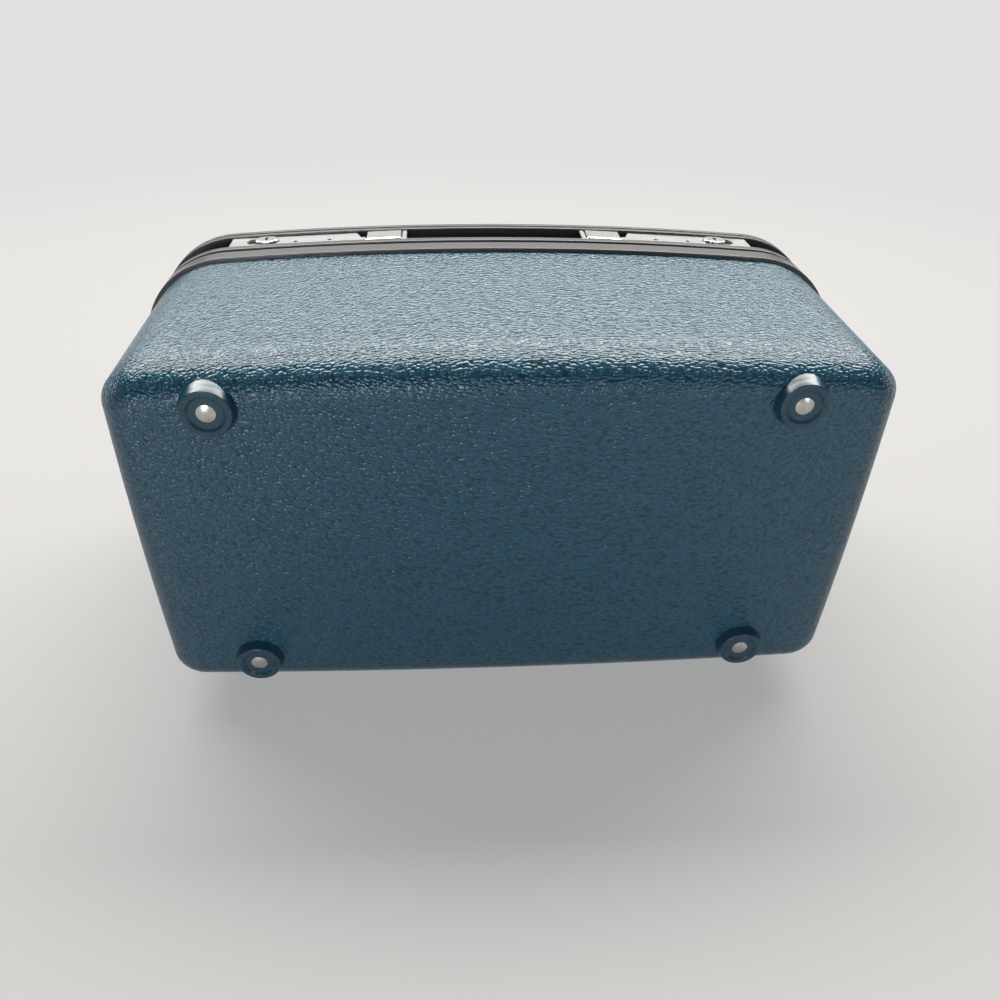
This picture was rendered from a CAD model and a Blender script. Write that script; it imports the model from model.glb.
import bpy
import numpy as np
from mathutils import Matrix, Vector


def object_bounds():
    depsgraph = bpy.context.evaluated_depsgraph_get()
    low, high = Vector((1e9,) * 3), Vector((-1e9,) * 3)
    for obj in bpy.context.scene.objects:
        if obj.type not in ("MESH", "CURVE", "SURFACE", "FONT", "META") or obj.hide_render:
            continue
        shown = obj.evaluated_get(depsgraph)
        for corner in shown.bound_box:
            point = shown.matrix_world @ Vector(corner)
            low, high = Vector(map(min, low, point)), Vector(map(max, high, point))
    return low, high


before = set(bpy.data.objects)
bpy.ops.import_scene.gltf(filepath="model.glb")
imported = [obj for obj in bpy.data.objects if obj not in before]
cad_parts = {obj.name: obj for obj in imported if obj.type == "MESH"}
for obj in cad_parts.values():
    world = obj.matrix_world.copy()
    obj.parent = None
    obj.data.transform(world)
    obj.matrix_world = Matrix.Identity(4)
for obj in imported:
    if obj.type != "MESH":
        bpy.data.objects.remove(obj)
cad_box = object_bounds()


# Base and lid shells: vacuum-moulded plastic, dark teal right through, with a pebble grain all over.
# The grain is small drawn-out cells that flow in gentle arcs, with darker creases between them.
# Its tops are polished by use, so they are a little glossier than the creases.
class Wire:
    """One output socket of a material. Python's operators on it add Math nodes to its node tree."""

    def __init__(self, tree, socket=None):
        self.tree, self.socket = tree, socket

    def node(self, kind, settings=None, sockets=None, out=0):
        """Adds a node: its kind, its settings such as a ramp's stops, then its sockets' values or links."""
        made = self.tree.nodes.new("ShaderNode" + kind)
        for name, value in (settings or {}).items():
            if name == "stops":
                elements = made.color_ramp.elements
                elements[0].position, elements[1].position = value[0][0], value[-1][0]
                for place, _ in value[1:-1]:
                    elements.new(place)
                for element, (_, level) in zip(elements, value):
                    element.color = (level, level, level, 1)
            else:
                setattr(made, name, value)
        for name, value in (sockets or {}).items():
            if isinstance(value, Wire):
                self.tree.links.new(value.socket, made.inputs[name])
            else:
                made.inputs[name].default_value = value
        return Wire(self.tree, made.outputs[out])

    def sum_of(self, operation, first, second):
        return self.node("Math", {"operation": operation}, {0: first, 1: second})

    def __add__(self, other):
        return self.sum_of("ADD", self, other)

    def __radd__(self, other):
        return self.sum_of("ADD", other, self)

    def __sub__(self, other):
        return self.sum_of("SUBTRACT", self, other)

    def __rsub__(self, other):
        return self.sum_of("SUBTRACT", other, self)

    def __mul__(self, other):
        return self.sum_of("MULTIPLY", self, other)

    def __rmul__(self, other):
        return self.sum_of("MULTIPLY", other, self)

    def size(self):
        """This value without its sign."""
        return self.sum_of("ABSOLUTE", self, 0.0)

    def clamped(self):
        """This value held between 0 and 1."""
        return self.node("Clamp", {}, {0: self})

    def ramp(self, *stops):
        """This value through a smooth ramp of (place, level) stops."""
        return self.node("ValToRGB", {"stops": stops}, {0: self})

    def between(self, dark, light):
        """A colour between two, by this value."""
        return self.node(
            "Mix", {"data_type": "RGBA"}, {0: self, 6: (*dark, 1), 7: (*light, 1)}, out=2
        )


class Finish:
    """A material in the making: places() gives object coordinates, and shown_by() closes it."""

    def __init__(self, name):
        self.material = bpy.data.materials.new(name)
        self.material.use_nodes = True
        self.material.node_tree.nodes.clear()
        self.start = Wire(self.material.node_tree)

    def places(self, stretch=(1, 1, 1)):
        """Object coordinates, in metres, multiplied by stretch along each axis."""
        here = self.start.node("TexCoord", out=3)
        return self.start.node("Mapping", {}, {"Vector": here, "Scale": stretch})

    def noise(self, per_metre, detail=2.0, stretch=(1, 1, 1), rough=0.5):
        """Soft noise from 0 to 1 with that many lumps per metre."""
        return self.start.node(
            "TexNoise",
            {},
            {"Vector": self.places(stretch), "Scale": per_metre, "Detail": detail, "Roughness": rough},
        )

    def bump(self, height, depth, strength=1.0):
        """A normal from a height of 0 to 1 that stands for depth in metres."""
        return self.start.node(
            "Bump", {}, {"Height": height, "Distance": depth, "Strength": strength}
        )

    def shown_by(self, **sockets):
        """Closes the material with its surface. Each keyword is a socket's name with _ for a space."""
        surface = self.start.node(
            "BsdfPrincipled", {}, {name.replace("_", " "): value for name, value in sockets.items()}
        )
        output = self.material.node_tree.nodes.new("ShaderNodeOutputMaterial")
        self.material.node_tree.links.new(surface.socket, output.inputs["Surface"])
        return self.material


def dress(material, *names):
    """Gives CAD nodes a material in place of the one they came with."""
    for name in names:
        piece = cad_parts[name]
        if not piece.material_slots:
            piece.data.materials.append(material)
        for place in piece.material_slots:
            place.material = material


CELLS_PER_METRE = 820.0
GRAIN_DEPTH = 0.00038
CELL_LENGTHENING = 0.5
FLOW_BEND, FLOW_SLANT = 1.5, 0.14
WANDERS_PER_METRE = 240.0
WANDER = 0.0012
FLAT_Y, FRONT_BEND = 0.0765, 0.149
FLAT_X, END_BEND = 0.1573, 0.179
FLAT_Z = 0.030
FLOOR_EASE, FLOOR_SLOPE = 0.0067, 0.42
WALL_EASE, WALL_SLOPE = 0.011, 0.31


def pebbled(name, eased):
    """The shells' plastic. Where eased, its shading bends gently from the flats to the rolled edges.

    The bottom is flat up to FLAT_Y and FLAT_X, less its edges' own bends, and the wall down to FLAT_Z.
    """
    made = Finish(name)
    spot = made.start.node("SeparateXYZ", {}, {0: made.places()})
    x, y, z = (Wire(spot.tree, spot.socket.node.outputs[axis]) for axis in "XYZ")
    arc = x * x * FLOW_BEND - x * FLOW_SLANT
    flow = made.start.node("CombineXYZ", {}, {0: x * CELL_LENGTHENING, 1: y + arc, 2: z + arc})
    wander = made.start.node(
        "TexNoise", {}, {"Vector": made.places(), "Scale": WANDERS_PER_METRE, "Detail": 1.0}, out=1
    )
    bent = made.start.node(
        "VectorMath", {"operation": "MULTIPLY_ADD"}, {0: wander, 1: (WANDER, WANDER, WANDER), 2: flow}
    )
    centre_distance = made.start.node(
        "TexVoronoi",
        {"feature": "SMOOTH_F1"},
        {"Vector": bent, "Scale": CELLS_PER_METRE, "Smoothness": 0.3},
    )
    pebble = (1.0 - centre_distance).ramp((0.15, 0.0), (0.55, 0.68), (0.95, 1.0))
    worn = made.noise(9.0, 3.0)
    sockets = {"Height": pebble, "Distance": GRAIN_DEPTH}
    if eased:
        fall = 0.0
        for past, slope, ease in (
            (y.size() + x * x * FRONT_BEND - FLAT_Y, FLOOR_SLOPE, FLOOR_EASE),
            (x.size() + y * y * END_BEND - FLAT_X, FLOOR_SLOPE, FLOOR_EASE),
            (FLAT_Z - z, WALL_SLOPE, WALL_EASE),
        ):
            begun = (past * (1 / ease)).clamped()
            tail = past.sum_of("MAXIMUM", past - ease, 0.0)
            fall = (begun * begun * (0.5 * ease) + tail) * slope + fall
        sockets["Normal"] = made.bump(0.0 - fall, 1.0)
    return made.shown_by(
        Base_Color=pebble.between((0.002, 0.026, 0.046), (0.008, 0.070, 0.114)),
        Roughness=0.25 - pebble * 0.04 + worn * 0.04,
        Normal=made.start.node("Bump", {}, sockets),
        IOR=1.5,
    )


dress(pebbled("pebbled_base", True), "base_shell")
dress(pebbled("pebbled_lid", False), "lid_shell")

# Feet: smooth injection-moulded plastic in the shell's colour, with fine turning rings on the face.
# The rings go round each foot's axis, which lies at the same place in every quarter of the bottom.
FOOT_X, FOOT_Y = 0.1265, 0.0735
RING_TURN = 7400.0
foot = Finish("foot_plastic")
foot_spot = foot.start.node("SeparateXYZ", {}, {0: foot.places()})
across, along = (
    Wire(foot_spot.tree, foot_spot.socket.node.outputs[axis]).size() - place
    for axis, place in (("X", FOOT_X), ("Y", FOOT_Y))
)
reach = foot.start.sum_of("SQRT", across * across + along * along, 0.0)
rings = foot.start.sum_of("SINE", reach * RING_TURN, 0.0) * 0.5 + 0.5
dress(
    foot.shown_by(
        Base_Color=foot.noise(70.0).between((0.007, 0.034, 0.054), (0.010, 0.046, 0.070)),
        Roughness=0.22 + foot.noise(160.0, 3.0) * 0.12,
        Normal=foot.bump(rings * 0.7 + foot.noise(900.0, 3.0) * 0.3, 0.00003),
    ),
    "foot_front_left", "foot_front_right", "foot_back_left", "foot_back_right",
)

# Rivets, pins and washers: domed steel, cold headed, bright, with fine scratches and a few dull spots.
steel = Finish("rivet_steel")
scratches = steel.noise(900.0, 4.0, (1.0, 6.0, 1.0))
dress(
    steel.shown_by(
        Base_Color=steel.noise(420.0, 3.0).between((0.36, 0.34, 0.31), (0.62, 0.60, 0.56)),
        Metallic=1.0,
        Roughness=0.16 + scratches * 0.2,
        Normal=steel.bump(steel.noise(500.0, 3.0), 0.00006),
    ),
    "foot_rivets", "foot_washers", "bracket_rivets", "bracket_washers", "latch_rivets", "strike_rivets",
    "base_hinge_rivets", "lid_hinge_rivets", "hasp_pins", "hinge_pins",
)

# Frames: extruded metal rings, enamelled black with a satin surface that shows the rolling direction.
black = Finish("black_enamel")
dress(
    black.shown_by(
        Base_Color=black.noise(40.0, 3.0).between((0.006, 0.006, 0.007), (0.016, 0.016, 0.018)),
        Roughness=0.27 + black.noise(30.0, 4.0) * 0.16,
        Normal=black.bump(black.noise(700.0, 3.0), 0.00001),
        Coat_Weight=0.5,
        Coat_Roughness=0.2,
    ),
    "base_frame", "lid_frame",
)

# Latches: pressed steel, nickel plated, brushed along its length, with the plating thin at the corners.
plated = Finish("brushed_plating")
brushed = plated.noise(260.0, 3.0, (0.12, 3.0, 6.0))
dress(
    plated.shown_by(
        Base_Color=plated.noise(60.0, 3.0).between((0.30, 0.31, 0.32), (0.42, 0.43, 0.44)),
        Metallic=1.0,
        Roughness=0.24 + brushed * 0.2,
        Normal=plated.bump(brushed, 0.00002),
    ),
    "latch_plate_left", "latch_plate_right", "strike_left", "strike_right",
)
bright = Finish("polished_plating")
dress(
    bright.shown_by(
        Base_Color=bright.noise(80.0).between((0.48, 0.48, 0.48), (0.60, 0.60, 0.59)),
        Metallic=1.0,
        Roughness=0.12 + bright.noise(400.0, 3.0) * 0.14,
        Normal=bright.bump(bright.noise(350.0, 2.0), 0.00003),
    ),
    "hasp_left", "hasp_right", "button_left", "button_right", "key_plug_left", "key_plug_right",
    "hasp_springs", "button_springs",
)

# Hinges: steel leaves and knuckles, dull zinc plated.
zinc = Finish("zinc_plating")
dress(
    zinc.shown_by(
        Base_Color=zinc.noise(120.0, 4.0).between((0.36, 0.37, 0.38), (0.56, 0.57, 0.58)),
        Metallic=1.0,
        Roughness=0.34 + zinc.noise(300.0, 3.0) * 0.2,
        Normal=zinc.bump(zinc.noise(600.0, 3.0), 0.00003),
    ),
    "base_hinge_leaf_left", "base_hinge_leaf_right", "lid_hinge_leaf_left", "lid_hinge_leaf_right",
)

# Handle: a moulded teal grip with a fine leather grain between chromed arms, on chromed brackets.
grip = Finish("grip_plastic")
grip_cells = grip.start.node(
    "TexVoronoi", {"feature": "DISTANCE_TO_EDGE"}, {"Vector": grip.places(), "Scale": 700.0}
)
grip_crease = grip_cells.ramp((0.0, 0.0), (0.2, 1.0))
dress(
    grip.shown_by(
        Base_Color=grip_crease.between((0.004, 0.024, 0.036), (0.010, 0.048, 0.068)),
        Roughness=0.42 - grip_crease * 0.08,
        Normal=grip.bump(grip_crease, 0.00012),
        Coat_Weight=0.2,
        Coat_Roughness=0.25,
    ),
    "handle_grip",
)
chrome = Finish("handle_chrome")
dress(
    chrome.shown_by(
        Base_Color=chrome.noise(50.0).between((0.74, 0.75, 0.76), (0.86, 0.86, 0.87)),
        Metallic=1.0,
        Roughness=0.10 + chrome.noise(500.0, 4.0) * 0.12,
        Normal=chrome.bump(chrome.noise(400.0, 2.0), 0.00001),
    ),
    "handle_arm_left", "handle_arm_right", "handle_bracket_left", "handle_bracket_right", "handle_pins",
)

# Linings and pocket: woven satin glued to board, champagne grey, with threads both ways.
satin = Finish("satin_cloth")
across_threads = satin.start.node(
    "TexWave", {"bands_direction": "X"}, {"Vector": satin.places(), "Scale": 420.0, "Distortion": 1.0}
)
down_threads = satin.start.node(
    "TexWave", {"bands_direction": "Z"}, {"Vector": satin.places(), "Scale": 420.0, "Distortion": 1.0}
)
weave = across_threads * 0.5 + down_threads * 0.5
dress(
    satin.shown_by(
        Base_Color=satin.noise(25.0, 3.0).between((0.30, 0.26, 0.21), (0.42, 0.37, 0.31)),
        Roughness=0.55 + weave * 0.2,
        Normal=satin.bump(weave, 0.00012),
        Sheen_Weight=0.4,
        Sheen_Roughness=0.4,
    ),
    "base_lining", "lid_lining", "back_pocket",
)

# Tray, dividers, ledges and the mirror's frame: injection-moulded plastic, ivory grey, satin.
ivory = Finish("tray_plastic")
dress(
    ivory.shown_by(
        Base_Color=ivory.noise(30.0, 3.0).between((0.34, 0.31, 0.26), (0.44, 0.41, 0.35)),
        Roughness=0.38 + ivory.noise(200.0, 3.0) * 0.12,
        Normal=ivory.bump(ivory.noise(1500.0, 2.0), 0.00002),
    ),
    "tray", "tray_dividers", "tray_ledge_left", "tray_ledge_right", "mirror_frame",
)

# Mirror: silvered glass, with the faint haze that old silvering has.
glass = Finish("silvered_glass")
dress(
    glass.shown_by(
        Base_Color=glass.noise(20.0, 3.0).between((0.84, 0.87, 0.87), (0.90, 0.92, 0.92)),
        Metallic=1.0,
        Roughness=0.02 + glass.noise(40.0, 4.0) * 0.03,
        Coat_Weight=0.5,
        Coat_Roughness=0.02,
    ),
    "mirror_glass",
)


# Stage: a floor under the standing case, and the floor behind it on which it lies in the photograph.
# Each is seen from its own side only, takes the case's shadow and pales evenly with distance.
# The one behind has a hole over the case's back, and only it is seen by glossy and diffuse rays.
PALE = (0.76, 0.75, 0.74)
FLOOR_SHADE = (0.19, 0.188, 0.187)
FLOOR_GLOW = (0.32, 0.317, 0.313)
FAR = 12.0
FADE_START, FADE_LENGTH = 0.35, 0.9
BACK_GAP = 0.0006
HOLE_REACH, HOLE_LOW, HOLE_HIGH = 0.15, 0.04, 0.19


def stage_plane(name, points, faces, mirrored):
    """A flat sheet that is seen only from the side its faces' corners go round."""
    mesh = bpy.data.meshes.new(name)
    mesh.from_pydata(points, [], faces)
    piece = bpy.data.objects.new(name, mesh)
    bpy.context.scene.collection.objects.link(piece)
    paint = Finish(name)
    ray = paint.start.node("LightPath")
    seen = Wire(ray.tree, ray.socket.node.outputs["Is Camera Ray"])
    if mirrored:
        for kind in ("Is Glossy Ray", "Is Diffuse Ray"):
            seen = seen + Wire(ray.tree, ray.socket.node.outputs[kind])
    hidden = paint.start.node("NewGeometry", out=6)
    reach = paint.start.node("VectorMath", {"operation": "LENGTH"}, {0: paint.places()}, out=1)
    away = (reach - FADE_START).ramp((0.0, 0.0), (FADE_LENGTH, 1.0))
    shade = away.between(FLOOR_SHADE, (0.0, 0.0, 0.0))
    glow = away.between(FLOOR_GLOW, PALE)
    cloth = paint.start.node("BsdfDiffuse", {}, {"Color": shade})
    light = paint.start.node("Emission", {}, {"Color": glow})
    lit = paint.start.node("AddShader", {}, {0: cloth, 1: light})
    clear = paint.start.node("BsdfTransparent")
    both = paint.start.node("MixShader", {}, {0: seen * (1.0 - hidden), 1: clear, 2: lit})
    output = paint.material.node_tree.nodes.new("ShaderNodeOutputMaterial")
    paint.material.node_tree.links.new(both.socket, output.inputs["Surface"])
    mesh.materials.append(paint.material)


back_y = cad_box[1].y + BACK_GAP
stage_plane(
    "floor", [(-FAR, -FAR, 0), (FAR, -FAR, 0), (FAR, FAR, 0), (-FAR, FAR, 0)], [(0, 1, 2, 3)], False
)
rims = [
    [(-x, back_y, low), (x, back_y, low), (x, back_y, high), (-x, back_y, high)]
    for x, low, high in ((FAR, -FAR, FAR), (HOLE_REACH, HOLE_LOW, HOLE_HIGH))
]
stage_plane(
    "photo_floor",
    rims[0] + rims[1],
    [(side, (side + 1) % 4, (side + 1) % 4 + 4, side + 4) for side in range(4)],
    True,
)

# Light: a dim even room, a wide warm window in front in three heights, the lowest the brightest, two
# cool lamps below, and three soft panels at the ends and behind. The bottom's rolled edge mirrors the
# dark between the window and the lamps below, which glint in its grain.
world = bpy.data.worlds.new("room")
bpy.context.scene.world = world
world.use_nodes = True
world.node_tree.nodes.clear()
sky = Wire(world.node_tree)
ray = sky.node("LightPath")
camera_ray = Wire(sky.tree, ray.socket.node.outputs["Is Camera Ray"])
room = sky.node("Background", {}, {"Color": (0.92, 0.97, 1.0, 1), "Strength": 0.15})
backdrop = sky.node("Background", {}, {"Color": (*PALE, 1), "Strength": 1.0})
either = sky.node("MixShader", {}, {0: camera_ray, 1: room, 2: backdrop})
world_output = world.node_tree.nodes.new("ShaderNodeOutputWorld")
world.node_tree.links.new(either.socket, world_output.inputs["Surface"])


def panel(name, place, target, size, power, tint=(1, 1, 1)):
    """A soft rectangular light at place that faces target."""
    data = bpy.data.lights.new(name, "AREA")
    data.shape = "RECTANGLE"
    data.size, data.size_y = size
    data.energy = power
    data.color = tint
    lamp = bpy.data.objects.new(name, data)
    bpy.context.scene.collection.objects.link(lamp)
    way = np.subtract(target, place)
    back = -way / np.linalg.norm(way)
    side = np.cross((0, 0, 1), back)
    side = side / np.linalg.norm(side)
    turn = np.eye(4)
    turn[:3, 0], turn[:3, 1], turn[:3, 2], turn[:3, 3] = side, np.cross(back, side), back, place
    lamp.matrix_world = Matrix(turn.tolist())
    lamp.visible_camera = False


COOL = (0.84, 0.93, 1.0)
WARM = (1.0, 0.965, 0.91)
EDGE = (0, -0.09, 0.02)
MIDDLE = (0, 0, 0.08)
WINDOW_WIDTH = 4.4
panel("window", (0.0, -1.728, 1.167), EDGE, (WINDOW_WIDTH, 0.705), 160.0, WARM)
panel("upper_window", (0.0, -1.335, 1.585), EDGE, (WINDOW_WIDTH, 0.456), 24.0, WARM)
panel("high_window", (0.0, -0.807, 1.887), EDGE, (WINDOW_WIDTH, 0.78), 9.0, WARM)
panel("left_lamp", (-0.55, -0.43, -1.9), EDGE, (1.1, 0.3), 18.0, COOL)
panel("right_lamp", (0.95, -0.50, -1.75), EDGE, (0.9, 0.25), 6.0, COOL)
panel("left_panel", (-1.9, 0.2, 0.6), MIDDLE, (1.0, 1.0), 9.0)
panel("right_panel", (1.9, 0.2, 0.6), MIDDLE, (1.0, 1.0), 7.0)
panel("back_panel", (0.2, 1.7, 1.0), MIDDLE, (1.6, 1.0), 26.0)

# Camera: below and in front of the standing case, as the photograph looks at its bottom and its front.
# The turn and place were fitted to the rivets, the bottom's outline and the frame's edges.
UNIT = 0.0009
PICTURE = 1000
FOCAL = 817.9
SENSOR = 36.0
TILT, SWING, ROLL = 0.6228, -0.0618, 0.0194
SHIFT = (4.067, -24.996, 429.31)
c, s = np.cos(TILT), np.sin(TILT)
level = np.array([[1, 0, 0], [0, -c, s], [0, s, c]])
swing = np.array(
    [[np.cos(SWING), 0, np.sin(SWING)], [0, 1, 0], [-np.sin(SWING), 0, np.cos(SWING)]]
)
roll = np.array([[np.cos(ROLL), -np.sin(ROLL), 0], [np.sin(ROLL), np.cos(ROLL), 0], [0, 0, 1]])
rows = roll @ swing @ level
camera_data = bpy.data.cameras.new("camera")
camera_data.sensor_width = SENSOR
camera_data.lens = SENSOR * FOCAL / PICTURE
camera_data.clip_start = 0.01
camera = bpy.data.objects.new("camera", camera_data)
bpy.context.scene.collection.objects.link(camera)
turn = np.eye(4)
turn[:3, 0], turn[:3, 1], turn[:3, 2] = rows[0], rows[1], -rows[2]
turn[:3, 3] = -rows.T @ np.array(SHIFT) * UNIT
camera.matrix_world = Matrix(turn.tolist())
bpy.context.scene.camera = camera
bpy.context.scene.view_settings.view_transform = "Standard"
